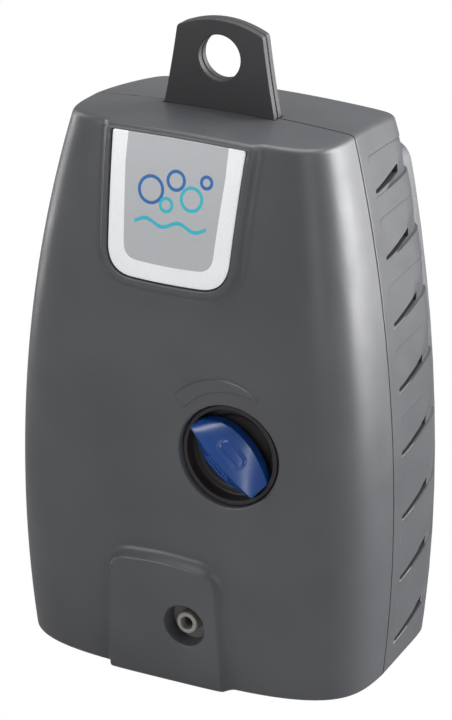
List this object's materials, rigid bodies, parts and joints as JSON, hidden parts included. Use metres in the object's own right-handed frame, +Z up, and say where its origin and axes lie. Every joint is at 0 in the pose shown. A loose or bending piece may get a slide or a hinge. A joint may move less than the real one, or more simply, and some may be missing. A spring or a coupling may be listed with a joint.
{
  "type": "aquarium air pump",
  "caption": "Upright mains diaphragm air pump with hanger tab, pointer regulator knob, front hose nozzle, side louvres and a hinged intake filter door.",
  "frame": {"origin": "on the resting plane under the feet, in the middle of the width, under the middle of the whole pump's depth with its cable tail; the parting plane between the shells lies 30.9 mm in front of it", "axes": "+X to the right and +Z up as seen from the front; the front with the label, knob and nozzle faces -Y"},
  "size_m": [0.0925, 0.1238, 0.1594],
  "materials": {
    "casing": "satin charcoal, fine moulded grain",
    "hanger": "matte near-black",
    "label": "satin grey print with a silver border",
    "dish": "matte brown-black",
    "knob": "glossy blue",
    "dark_plastic": "matte black",
    "rubber": "matte black",
    "steel": "zinc plated",
    "iron": "oxidised sheet edges",
    "copper": "enamelled copper wire",
    "board": "green solder mask",
    "nylon": "natural nylon",
    "felt": "needled felt",
    "silicone": "translucent grey"
  },
  "bodies": {
    "casing": {"board_screw_1": "steel", "board_screw_2": "steel", "capacitor": "dark_plastic", "case_screw_1": "steel", "case_screw_2": "steel", "case_screw_3": "steel", "case_screw_4": "steel", "coil_bobbin": "nylon", "coil_lead": "dark_plastic", "coil_winding": "copper", "control_board": "board", "core_laminations": "iron", "core_screw_1": "steel", "core_screw_2": "steel", "diaphragm": "rubber", "diaphragm_clamp": "nylon", "filter_felt": "felt", "foot_1": "rubber", "foot_2": "rubber", "foot_3": "rubber", "foot_4": "rubber", "frame_screw_1": "steel", "frame_screw_2": "steel", "frame_screw_3": "steel", "frame_screw_4": "steel", "front_cover": "casing", "grommet_1": "rubber", "grommet_2": "rubber", "grommet_3": "rubber", "grommet_4": "rubber", "hanger_front_plate": "hanger", "hanger_rear_plate": "hanger", "head_screw_1": "steel", "head_screw_2": "steel", "label_plate": "label", "mains_cable": "rubber", "mains_lead": "dark_plastic", "motor_frame": "nylon", "outlet_hose": "silicone", "outlet_nozzle": "dark_plastic", "pivot_pin": "steel", "potentiometer": "dark_plastic", "pump_chamber": "nylon", "pump_head": "nylon", "pump_screw_1": "steel", "pump_screw_2": "steel", "rear_cover": "casing", "regulator_dish": "dish", "strain_relief": "rubber", "valve_plate": "nylon"},
    "regulator": {"regulator_knob": "knob", "regulator_shaft": "nylon"},
    "armature": {"armature_arm": "steel", "armature_magnet": "iron", "diaphragm_plate": "nylon", "diaphragm_screw": "steel"},
    "intake_valve": {"intake_flap": "silicone"},
    "exhaust_valve": {"exhaust_flap": "silicone"},
    "filter_door": {"filter_cover": "casing"}
  },
  "joints": [
    {"name": "regulator_turn", "type": "hinge", "parent": "casing", "child": "regulator", "pos_m": [0.0165, -0.0579, 0.0642], "axis": [0, 1, 0], "range_deg": [0, 75]},
    {"name": "armature_rock", "type": "hinge", "parent": "casing", "child": "armature", "pos_m": [0.033, -0.0269, 0.06], "axis": [0, 1, 0], "range_deg": [-1.5, 1.5], "stiffness_Nm_per_rad": 2, "deforming": ["diaphragm"]},
    {"name": "intake_flap_bend", "type": "hinge", "parent": "casing", "child": "intake_valve", "pos_m": [0.0018, -0.0274, 0.03815], "axis": [0, -1, 0], "range_deg": [0, 20]},
    {"name": "exhaust_flap_bend", "type": "hinge", "parent": "casing", "child": "exhaust_valve", "pos_m": [0.0202, -0.0274, 0.03455], "axis": [0, -1, 0], "range_deg": [0, 20]},
    {"name": "filter_door_swing", "type": "hinge", "parent": "casing", "child": "filter_door", "pos_m": [0, 0.0026, 0.0455], "axis": [-1, 0, 0], "range_deg": [0, 75]}
  ]
}
